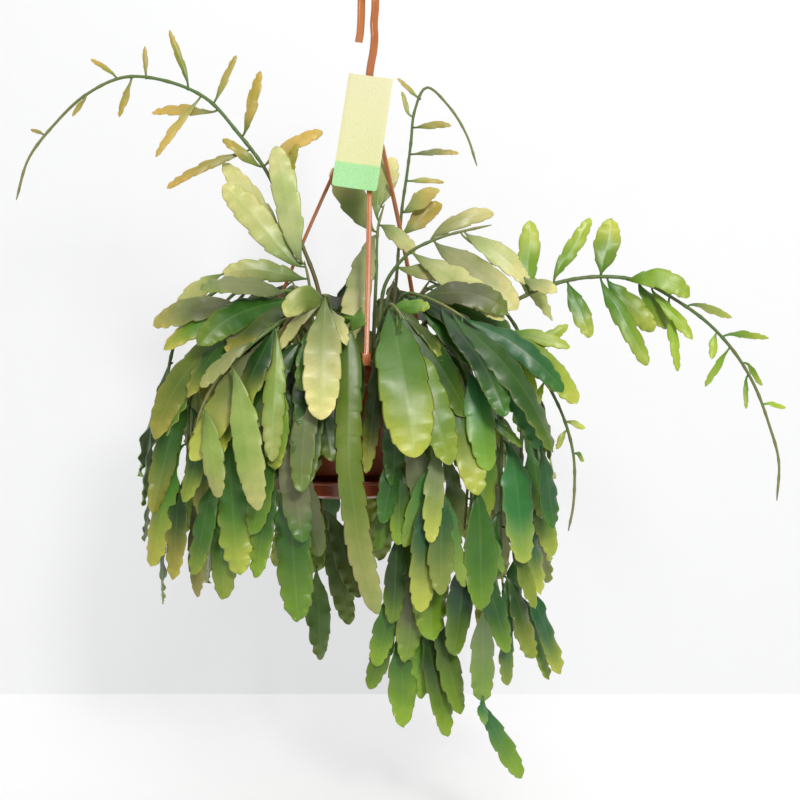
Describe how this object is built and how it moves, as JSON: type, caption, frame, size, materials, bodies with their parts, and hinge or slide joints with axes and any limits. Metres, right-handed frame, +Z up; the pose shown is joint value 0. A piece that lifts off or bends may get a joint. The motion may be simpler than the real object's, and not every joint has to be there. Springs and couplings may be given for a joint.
{
  "type": "potted pseudorhipsalis",
  "caption": "Trailing epiphytic cactus with flat, notched stems in a hanging plastic pot with clip-on saucer, strap hanger, hook and plain tag.",
  "frame": {"origin": "underside of the hook's crown, where the pot is hung up", "axes": "+Z up; the pictured front faces -Y; +X to the viewer's right"},
  "size_m": [0.6838, 0.3344, 0.696],
  "materials": {
    "terracotta": "satin, terracotta coloured",
    "hanger": "satin, copper brown",
    "label": "coated card, pale yellow with a green foot",
    "soil": "rough, moist peat",
    "leaf": "waxy satin"
  },
  "bodies": {
    "root": {"pot": "terracotta", "saucer": "terracotta", "hook": "hanger", "strap_front": "hanger", "strap_right": "hanger", "strap_left": "hanger", "label": "label", "soil": "soil", "arching_stem_left": "leaf", "upper_left_shoot": "leaf", "middle_shoot": "leaf", "thin_stem_behind": "leaf", "middle_right_shoot": "leaf", "arching_stem_right": "leaf", "lower_stem_right": "leaf", "front_right_fan": "leaf", "front_left_fan": "leaf", "front_strap": "leaf", "left_pale_shoot": "leaf", "left_arch_shoot": "leaf", "left_front_hanging": "leaf", "left_hanging": "leaf", "front_left_inner": "leaf", "front_left_cover": "leaf", "right_front_hanging": "leaf", "right_long_hanging": "leaf", "right_dark_strap": "leaf", "right_inner_long": "leaf", "right_side_hanging": "leaf", "right_outer_hanging": "leaf", "centre_right_hanging": "leaf", "hanging_behind_pot": "leaf", "left_side_low": "leaf", "left_side_outer": "leaf", "left_high_outer": "leaf", "left_back_middle": "leaf", "left_back_outer": "leaf", "back_left_low": "leaf", "back_left_middle": "leaf", "back_outer": "leaf", "back_right_low": "leaf", "back_right_middle": "leaf", "back_right_outer": "leaf", "right_back_middle": "leaf", "right_side_outer": "leaf", "right_side_low": "leaf", "crown_left": "leaf", "crown_back_left": "leaf", "crown_back": "leaf", "crown_back_right": "leaf", "crown_right": "leaf"}
  },
  "joints": []
}
